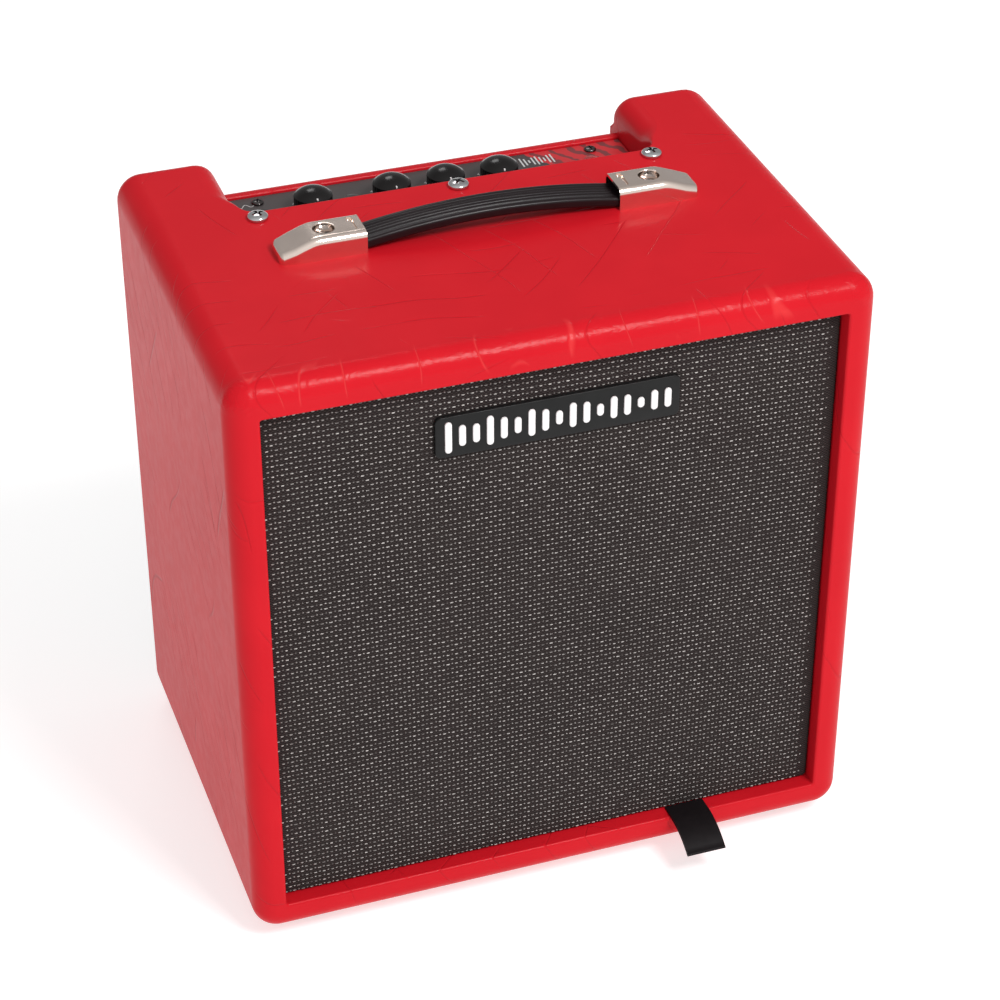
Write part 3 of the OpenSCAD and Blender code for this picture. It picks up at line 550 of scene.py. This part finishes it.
def cabinet():
    """The vinyl skin: the cut box without its hidden faces, given the thickness of the covering."""
    o = carve(cabinet_body(), recess_cutter())
    bm = bmesh.new()
    bm.from_mesh(o.data)
    hidden = ((1, front + FRONT_POCKET), (1, back - BACK_POCKET), (2, top - RECESS_DEPTH))
    drop = [
        f
        for f in bm.faces
        if any(all(abs(v.co[axis] - at) < 0.05 * MM for v in f.verts) for axis, at in hidden)
    ]
    bmesh.ops.delete(bm, geom=drop, context="FACES")
    bm.to_mesh(o.data)
    bm.free()
    smooth(o.data, 30)
    m = o.modifiers.new("skin", "SOLIDIFY")
    m.thickness, m.offset, m.use_rim = vinyl_t, -1, True
    flat_faces(o)
    apply_modifiers(o)
    o.name = "vinyl_skin"
    painted(o, "red_vinyl", "cabinet", "vinyl_covering")


# ---------- grille ----------

def grille_cloth():
    """Cloth drawn over the frame: its face, a soft turn and its four sides."""
    soft, y0 = 1.6 * MM, grille_lo.y

    def ring(inset, y):
        r = max(0.3 * MM, 2.2 * MM - inset)
        return rect_ring(grille_hi.x - inset, grille_lo.z + inset, grille_hi.z - inset, r, y)

    rings = [ring(soft * (1 - math.sin(a)), y0 + soft * (1 - math.cos(a))) for a in arc(5)]
    rings.append(ring(0, grille_hi.y))
    o = solid("grille_sheet", *loft(rings, True, False))
    flat_faces(o)
    painted(o, "grille_weave", "grille", "grille_cloth")
    return o


def flecks():
    """Raised silver threads: each row alternates a long and a short float, and rows are staggered."""
    lift, edge = 0.24 * MM, 1.2 * MM
    floats = (  # shift along the row, shift up, half length and half height
        (0, 0, 0.84 * MM, 0.34 * MM),
        (0.5, 0.3 * MM, 0.44 * MM, 0.25 * MM),
    )
    rng = np.random.default_rng(7)
    xs, zs, halves, talls = [], [], [], []
    rows = int((grille_hi.z - grille_lo.z - 2 * edge) / FLECK_ROW)
    columns = int((grille_hi.x - grille_lo.x - 2 * edge) / FLECK_PITCH)
    for row in range(rows + 1):
        start = grille_lo.x + edge + (row % 2) * FLECK_PITCH / 2
        for column in range(columns):
            for shift, up, half, tall in floats:
                xs.append(start + (column + shift) * FLECK_PITCH)
                zs.append(grille_lo.z + edge + row * FLECK_ROW + up)
                halves.append(half)
                talls.append(tall)
    x, z, half, tall = (np.array(v) for v in (xs, zs, halves, talls))
    x = x + rng.normal(0, 0.05 * MM, len(x))
    z = z + rng.normal(0, 0.03 * MM, len(x))
    half = half * rng.uniform(0.85, 1.12, len(x))
    keep = (np.abs(x) < grille_hi.x - edge) & (z < grille_hi.z - edge)
    x, z, half, tall = x[keep], z[keep], half[keep], tall[keep]
    rim = [(-1, 0, 0), (-0.62, 1, 0), (0.62, 1, 0), (1, 0, 0), (0.62, -1, 0), (-0.62, -1, 0)]
    shape = np.array(rim + [(-0.5, 0, 1), (0.5, 0, 1)])
    sides = [(0, 6, 1), (1, 6, 7, 2), (2, 7, 3), (3, 7, 4), (4, 7, 6, 5), (5, 6, 0)]
    n = len(x)
    verts = np.empty((n, 8, 3))
    verts[:, :, 0] = x[:, None] + half[:, None] * shape[None, :, 0]
    verts[:, :, 1] = grille_lo.y + 0.02 * MM - lift * shape[None, :, 2]
    verts[:, :, 2] = z[:, None] + tall[:, None] * shape[None, :, 1]
    faces = []
    for i in range(n):
        faces += [tuple(k + 8 * i for k in side) for side in sides]
    mesh = bpy.data.meshes.new("grille_flecks")
    mesh.from_pydata(verts.reshape(-1, 3).tolist(), [], faces)
    mesh.shade_smooth()
    o = link("grille_flecks", mesh)
    s = Shader("silver_fleck", (0.6, 0.57, 0.55), 0.5, **{"Specular IOR Level": 0.3})
    tone = s.ramp(s.noise(420, 1.0), 0.3, 0.7)
    tone = s.times(tone, s.ramp(s.noise(30, 2.0), 0.3, 0.7, 0.88, 1.0))
    o.data.materials.append(s.finish(s.mix(tone, (0.10, 0.088, 0.084), (0.50, 0.47, 0.45))))
    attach(o, "grille")
    return o


def badge():
    """Black plate with a wave of silver bars that fades to the right."""
    lo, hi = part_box("badge_plate")
    cx, cz = (lo.x + hi.x) / 2, (lo.z + hi.z) / 2
    half, tall = (hi.x - lo.x) / 2, (hi.z - lo.z) / 2

    def bevelled(name, x, half, high, r, low, rear, soft, n, steps):
        """A rounded rectangle about (x, cz), from the rear to a soft front edge."""
        def ring(inset, y):
            points = rect_ring(half - inset, inset - high, high - inset, r - inset, y, n)
            return [(x + px, py, cz + pz) for px, py, pz in points]

        rings = [ring(0, rear)]
        rings += [ring(soft * (1 - math.cos(a)), low + soft * (1 - math.sin(a))) for a in arc(steps)]
        return solid(name, *loft(rings))

    plate = bevelled("badge_backing", cx, half, tall, 3 * MM, lo.y, hi.y, 0.5 * MM, 8, 4)
    painted(plate, "badge_black", "grille", "badge_plate")
    bars_lo, bars_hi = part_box("badge_bars")
    count, bar_half, soft = 17, 1.6 * MM, 0.3 * MM
    pitch = (half * 2 - 12 * MM) / (count - 1)
    made = []
    for i in range(count):
        fade = 1 - 0.5 * i / (count - 1)
        high = 5 * MM + (2 * tall - 10 * MM) * fade * abs(math.cos(math.radians(i * 58)))
        high = max(high, 2 * bar_half + 0.4 * MM) / 2
        x, r = cx + (i - (count - 1) / 2) * pitch, bar_half - 0.02 * MM
        made.append(bevelled("bar", x, bar_half, high, r, bars_lo.y, bars_hi.y, soft, 6, 3))
    painted(merged("badge_wave", made), "badge_silver", "grille", "badge_bars")


def pull_tab():
    """Satin ribbon folded double: out over the lip, round its end fold and back underneath."""
    lo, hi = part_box("pull_tab")
    gap, thick = 1.2 * MM, 0.45 * MM
    reach = front - lo.y
    z0 = open_lo + 0.35 * MM
    line = []
    for k in range(15):
        t = k / 14
        y = hi.y + (lo.y + 1.1 * MM - hi.y) * t
        out = max(0.0, (front + 1 * MM - y) / reach)
        line.append((y, z0 - 6.6 * MM * out**2.5))
    top_line = [(y, z + gap * (0.35 + 0.65 * min(1.0, k / 5))) for k, (y, z) in enumerate(line)]
    end_y, end_z = line[-1]
    fold = []
    for a in arc(8, 20, 160):
        fold.append((end_y - 0.75 * MM * math.sin(a), end_z + gap / 2 + gap / 2 * math.cos(a)))
    pts = np.array(top_line + fold + line[::-1])
    step = np.gradient(pts, axis=0)
    normal = np.stack([-step[:, 1], step[:, 0]], 1)
    normal /= np.linalg.norm(normal, axis=1)[:, None]
    rings = []
    for p, n in zip(pts, normal):
        a, b = p + n * thick / 2, p - n * thick / 2
        rings.append([(lo.x, a[0], a[1]), (hi.x, a[0], a[1]), (hi.x, b[0], b[1]), (lo.x, b[0], b[1])])
    o = solid("ribbon_tab", *loft(rings), angle=40)
    painted(o, "ribbon", "grille", "pull_tab")


# ---------- controls ----------

def knob(label):
    """Black knob: crowned top over a finely fluted side."""
    lo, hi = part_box(f"{label}_knob")
    r, height = (hi.x - lo.x) / 2, hi.z - lo.z
    crown, turn_r, flute_depth, flutes = 3.6 * MM, 0.6 * MM, 0.28 * MM, 30
    shoulder = height - crown - turn_r
    profile = [(6.8 * MM, 5.5 * MM), (6.8 * MM, 0.3 * MM)]  # the hollow underneath
    profile += [(r - 1.0 * MM, 0), (r - 0.3 * MM, 0.0), (r, 0.4 * MM), (r, shoulder)]
    for a in arc(3)[1:]:
        profile.append((r - 0.5 * MM * (1 - math.cos(a)), shoulder + turn_r * math.sin(a)))
    edge = profile[-1][0]
    for k in range(1, 15):
        t = k / 14
        profile.append((edge * (1 - t), height - crown * (1 - t) ** 2 * (1 - 0.12 * math.sin(math.pi * t))))
    verts, faces = turned(profile, 120)
    cx, cy = (lo.x + hi.x) / 2, (lo.y + hi.y) / 2
    placed = []
    for x, y, z in verts:
        rad = math.hypot(x, y)
        on_side = rad > r - 0.35 * MM and z < height - crown - 0.5 * MM
        wave = 0.5 - 0.5 * math.cos(flutes * math.atan2(y, x))
        depth = flute_depth * wave if on_side else 0.0
        k = (rad - depth) / rad if rad > 1e-6 else 1.0
        placed.append((cx + x * k, cy + y * k, lo.z + z))
    o = solid(f"{label}_dial", placed, faces, 40)
    painted(o, "knob_black", f"{label}_control", f"{label}_knob")
    pointer = solid(
        f"{label}_pointer",
        *block(
            (cx - 0.35 * MM, cy - edge + 0.4 * MM, hi.z - 3.3 * MM),
            (cx + 0.35 * MM, cy - edge + 1.4 * MM, hi.z - 2.4 * MM),
        ),
    )
    painted(pointer, "badge_silver", f"{label}_control")


def screw_head(r, h, shank_r, length, turn):
    """A pan head with a tapered cross recess, at the origin, looking up."""
    dome = [(r * math.sin(a), 0.38 * h + 0.62 * h * math.cos(a)) for a in arc(10)]
    profile = dome + [(r, 0.1 * h), (r - 0.1 * h, 0), (shank_r, 0), (shank_r, -length), (0, -length)]
    head = solid("screw", *turned(profile, 48))
    for a in (turn, turn + 90):
        w, reach = 0.12 * r, 0.62 * r
        corners = ((-1, -1), (1, -1), (1, 1), (-1, 1))
        ends = ((1.3 * h, 1.05), (-0.1 * h, 0.7))  # height and how far the slot reaches there
        verts = [(sx * reach * k, sy * w, z) for z, k in ends for sx, sy in corners]
        c, s = math.cos(math.radians(a)), math.sin(math.radians(a))
        verts = [(x * c - y * s, x * s + y * c, z) for x, y, z in verts]
        carve(head, solid("cross", verts, PRISM))
    cone = solid("cone", *turned([(0, -0.1 * h), (0.33 * r, 1.3 * h), (0, 1.3 * h)], 24))
    carve(head, cone)
    smooth(head.data, 34)
    return head


def screws(name, node, slot, r, h, shank_r, length, turns):
    """Detailed heads over the CAD screws of one node; their places come from its box."""
    lo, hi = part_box(node)
    z = hi.z - h
    xs = [lo.x + r, hi.x - r] if len(turns) != 3 else [lo.x + r, (lo.x + hi.x) / 2, hi.x - r]
    ys = [(lo.y + hi.y) / 2] if len(turns) != 4 else [lo.y + r, hi.y - r]
    made = []
    for (x, y), turn in zip([(x, y) for y in ys for x in xs], turns):
        head = screw_head(r, h, shank_r, length, turn)
        head.location = (x, y, z)
        bpy.context.view_layer.update()
        made.append(head)
    painted(merged(name, made), slot, "cabinet", node)


def panel_marks():
    """Printed dial ticks and numerals, a wave of bars and a wavy line."""
    z, thick = panel_hi.z, 0.06 * MM
    tick_in, tick_out, numeral_r = 10.6 * MM, 11.8 * MM, 13.6 * MM
    made = []

    def dial_angle(number):
        return math.radians(240 - 30 * number)

    def stroke(x0, y0, x1, y1, w=0.35 * MM):
        d = Vector((x1 - x0, y1 - y0))
        n = Vector((-d.y, d.x)).normalized() * w / 2
        verts = [(x0 + n.x, y0 + n.y), (x1 + n.x, y1 + n.y), (x1 - n.x, y1 - n.y), (x0 - n.x, y0 - n.y)]
        verts = [(x, y, h) for h in (z - 0.02 * MM, z + thick) for x, y in verts]
        made.append(solid("stroke", verts, PRISM))

    for label in ("gain", "drive", "tone", "level"):
        lo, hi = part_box(f"{label}_knob")
        cx, cy = (lo.x + hi.x) / 2, (lo.y + hi.y) / 2
        for k in range(11):
            a = dial_angle(k)
            c, s = math.cos(a), math.sin(a)
            stroke(cx + tick_in * c, cy + tick_in * s, cx + tick_out * c, cy + tick_out * s)
        for k in (0, 2, 4, 5, 6, 8, 10):
            a = dial_angle(k)
            text = bpy.data.curves.new("numeral", "FONT")
            text.body, text.size, text.align_x, text.align_y = str(k), 3.0 * MM, "CENTER", "CENTER"
            text.extrude = thick / 2
            o = link("numeral", text)
            mesh = evaluated_mesh(o)
            bpy.data.objects.remove(o)
            digit = link("digit", mesh)
            digit.location = (cx + numeral_r * math.cos(a), cy + numeral_r * math.sin(a), z + thick / 2)
            bpy.context.view_layer.update()
            made.append(digit)
    for k in range(9):  # a small wave of bars between the last dial and the sockets
        x = 49 * MM + k * 2.0 * MM
        tall = (1.2 + 3.2 * abs(math.cos(math.radians(47 * k)))) * MM
        stroke(x, rail_y - 9 * MM - tall, x, rail_y - 9 * MM + tall, 0.8 * MM)
    step, swing, y = 1.1 * MM, 1.6 * MM, rail_y - 8.5 * MM
    for k in range(12):  # a wavy line at the left hand end
        x = -99 * MM + k * step
        stroke(x, y + swing * math.sin(k * 1.3), x + step, y + swing * math.sin((k + 1) * 1.3), 0.3 * MM)
    o = merged("panel_marks", made)
    smooth(o.data, 30)
    s = Shader("panel_print", (0.55, 0.55, 0.55), 0.5)
    o.data.materials.clear()
    o.data.materials.append(s.finish(s.mix(s.noise(400), (0.45, 0.45, 0.45), (0.65, 0.65, 0.64))))
    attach(o, "cabinet")


# ---------- handle ----------

def handle_cap(side):
    """Pressed end cap: flat top with rounded long edges, a slope to a low round toe, a screw well."""
    name = "handle_cap_left" if side < 0 else "handle_cap_right"
    lo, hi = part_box(name)
    length, width, height = hi.x - lo.x, (hi.y - lo.y) / 2, hi.z - lo.z
    cy, z0 = (lo.y + hi.y) / 2, lo.z
    mouth = hi.x if side < 0 else lo.x
    hole, seat, toe_r, toe_soft, bend = 18 * MM, 5 * MM, 4.5 * MM, 1.8 * MM, 23 * MM

    def tall(x):
        t = min(1.0, max(0.0, (x - bend) / (length - bend)))
        ease = t * t * (3 - 2 * t) * 0.35 + t * 0.65
        high = height - (height - 5 * MM) * ease
        over = max(0.0, x - (length - toe_soft))
        return high - (toe_soft - math.sqrt(max(0.0, toe_soft**2 - over**2)))

    def wide(x):
        over = max(0.0, x - (length - toe_r))
        return width - toe_r + math.sqrt(max(0.0, toe_r**2 - over**2))

    xs = {length * k / 22 for k in range(19)} | {length - toe_r * (1 - math.sin(a)) for a in arc(9, 35, 86)}
    rings = []
    for x in sorted(xs):
        h, w = tall(x), wide(x)
        r = min(3.6 * MM, h - 0.4 * MM, w * 0.8)
        quarter = [(w - r * (1 - math.cos(a)), h - r * (1 - math.sin(a))) for a in arc(12)]
        half = [(w, 0.0), (w, (h - r) * 0.5)] + quarter
        ring = half + [(-y, z) for y, z in reversed(half)]
        rings.append([(mouth + side * x, cy + y, z0 + z) for y, z in ring])
    verts, faces = loft(rings, False, True, closed=False)
    o = solid("cap", verts, faces)
    bm = bmesh.new()
    bm.from_mesh(o.data)
    up = max(bm.faces, key=lambda f: f.calc_center_median().z)
    if up.normal.z < 0:
        bmesh.ops.reverse_faces(bm, faces=bm.faces)
    bm.to_mesh(o.data)
    bm.free()
    m = o.modifiers.new("wall", "SOLIDIFY")
    m.thickness, m.offset, m.use_rim, m.use_even_offset = 1.2 * MM, -1, True, True
    apply_modifiers(o)
    cx = mouth + side * hole
    boss_r, boss_low, boss_top = 6.4 * MM, 4 * MM, height - 0.6 * MM
    boss = [(0, boss_low), (boss_r, boss_low), (boss_r, boss_top), (0, boss_top)]
    carve(o, lathe("boss", boss, (cx, cy, z0), 48), "UNION")
    lip, well_r = 0.5 * MM, 5 * MM
    well = [(0, seat), (well_r, seat), (well_r, height - lip)]
    well += [(well_r + lip * (1 - math.cos(a)), height - lip + lip * math.sin(a)) for a in arc(3)][1:]
    well += [(well_r + lip, height + 4 * MM), (0, height + 4 * MM)]
    carve(o, lathe("well", well, (cx, cy, z0), 48))
    slot_x, slot_half, slot_reach = 4.6 * MM, 1.1 * MM, 6 * MM
    pill = []
    for z, grow in ((height - 1 * MM, 0), (height + 1 * MM, 0.5 * MM)):
        reach, r = slot_reach + grow, slot_half - 0.02 * MM + grow
        ring = rect_ring(slot_half + grow, -reach, reach, r, 0, 6)
        pill.append([(mouth + side * (slot_x + px), cy + pz, z0 + z) for px, py, pz in ring])
    carve(o, solid("pill", *loft(pill)))
    smooth(o.data, 30)
    flat_faces(o)
    apply_modifiers(o)
    o.name = "cap_shell_left" if side < 0 else "cap_shell_right"
    painted(o, "cap_nickel", "cabinet", name)


def strap():
    """One ribbed rubber strap over both CAD halves, made as one arched piece."""
    left_lo, left_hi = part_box("strap_left")
    right_lo, right_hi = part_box("strap_right")
    mid = (left_hi.x + right_lo.x) / 2
    half_len, cy = right_hi.x - mid, (left_lo.y + left_hi.y) / 2
    width, thick, low = (left_hi.y - left_lo.y) / 2, 5.5 * MM, left_lo.z
    rise = left_hi.z - low - thick
    mouth, bend_reach = half_len - 9.5 * MM, 45 * MM
    radius = (mouth**2 + rise**2) / (2 * rise)
    xs = np.linspace(-half_len, half_len, 121)
    held = np.minimum(np.abs(xs), mouth)
    under = np.where(np.abs(xs) < mouth, np.sqrt(radius**2 - held**2) - radius + rise, 0.0)
    kernel = np.ones(7) / 7
    padded = np.concatenate([np.full(3, under[0]), under, np.full(3, under[-1])])
    under = np.convolve(padded, kernel, "valid")
    slope = np.gradient(under, xs)

    def crown(v):
        """Height of the top face across the width: a bead on each edge and five ribs between."""
        u = abs(v) / width
        if u > 0.60:
            t = (u - 0.80) / 0.20
            return thick - 0.15 * MM - 1.1 * MM * max(0.0, t) ** 2.4 - 0.75 * MM * max(0.0, -t) ** 4
        rib = abs(math.cos(math.pi * 2 * v / (0.60 * width)))
        return thick - 1.2 * MM + 0.8 * MM * rib**0.7

    outline = []
    for k in range(81):
        v = -width * 0.985 + 2 * width * 0.985 * k / 80
        outline.append((v, crown(v)))
    side_r = 2.0 * MM
    bottom = [(width - side_r * (1 - math.cos(a)), side_r * (1 - math.sin(a))) for a in arc(5)]
    side_top = outline[-1][1]
    outline += [(width, side_top - 0.7 * MM)] + bottom
    outline += [(-v, w) for v, w in reversed(bottom)] + [(-width, side_top - 0.7 * MM)]
    rings = []
    for x, z, g in zip(xs, under, slope):
        n = math.hypot(1, g)
        rings.append([(mid + x - w * g / n, cy + v, low + z + w / n) for v, w in outline])
    o = solid("strap_grip", *loft(rings), angle=50)
    o.data.materials.append(FINISHES["strap_rubber"])
    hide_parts("strap_left", "strap_right")
    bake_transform(o)


# ---------- studio ----------

def studio():
    """World light that fades to the rear, a pale floor, two lamps and the camera."""
    scene = bpy.context.scene
    scene.view_settings.view_transform = "Standard"
    world = bpy.data.worlds.new("studio")
    scene.world = world
    world.use_nodes = True
    tree = world.node_tree
    way = tree.nodes.new("ShaderNodeTexCoord")
    split = tree.nodes.new("ShaderNodeSeparateXYZ")
    fade = tree.nodes.new("ShaderNodeMapRange")
    for socket, value in (("From Min", -0.7), ("From Max", 0.45), ("To Min", 0.82), ("To Max", 0.36)):
        fade.inputs[socket].default_value = value
    tree.links.new(way.outputs["Generated"], split.inputs[0])
    tree.links.new(split.outputs["Y"], fade.inputs["Value"])
    tree.links.new(fade.outputs["Result"], tree.nodes["Background"].inputs["Strength"])
    tree.nodes["Background"].inputs["Color"].default_value = (1.0, 1.0, 1.0, 1)
    floor = solid("floor", [(-4, -4, 0), (4, -4, 0), (4, 6, 0), (-4, 6, 0)], [(0, 1, 2, 3)])
    glow = {"Emission Color": (1, 1, 1, 1), "Emission Strength": 0.6}
    s = Shader("floor_paper", (0.62, 0.62, 0.62), 0.9, **glow)
    floor.data.materials.append(s.finish(s.mix(s.noise(3), (0.61, 0.61, 0.61), (0.63, 0.63, 0.63))))
    for name, at, aim, size, power in (
        ("key", (0.5, -1.25, 1.8), (0, 0, 0.15), 0.55, 28),
        ("rear", (0.1, 1.5, 1.9), (0, 0.05, 0.3), 0.6, 5),
    ):
        light = bpy.data.lights.new(name, "AREA")
        light.shape, light.size, light.energy = "SQUARE", size, power
        o = bpy.data.objects.new(name, light)
        o.location = at
        o.rotation_euler = (Vector(aim) - Vector(at)).to_track_quat("-Z", "Y").to_euler()
        scene.collection.objects.link(o)
    camera = bpy.data.cameras.new("camera")
    camera.lens, camera.sensor_width = 102.72, 36
    look = Vector((0.271, 0.783, -0.560))
    o = bpy.data.objects.new("camera", camera)
    o.location = (-0.3759, -1.0960, 0.9492)
    o.rotation_euler = look.to_track_quat("-Z", "Y").to_euler()
    scene.collection.objects.link(o)
    scene.camera = o


studio()
finish_nodes()
cabinet()
sheet = grille_cloth()
marks = flecks()
badge()
pull_tab()
for label in ("gain", "drive", "tone", "level"):
    knob(label)
# Each row of screws: head radius and height, shank radius and length, and how far each one is turned
screws("top_screws", "chassis_screws", "chrome_screw", 5 * MM, 3.2 * MM, 2 * MM, 18 * MM, (22, 50, 8))
screws("cap_screws", "handle_screws", "chrome_screw", 4.5 * MM, 2.8 * MM, 2.1 * MM, 20 * MM, (35, 62))
screws("face_screws", "panel_screws", "black_screw", 3 * MM, 1.8 * MM, 1.5 * MM, 6 * MM, (15, 40, 70, 5))
panel_marks()
handle_cap(-1)
handle_cap(1)
strap()
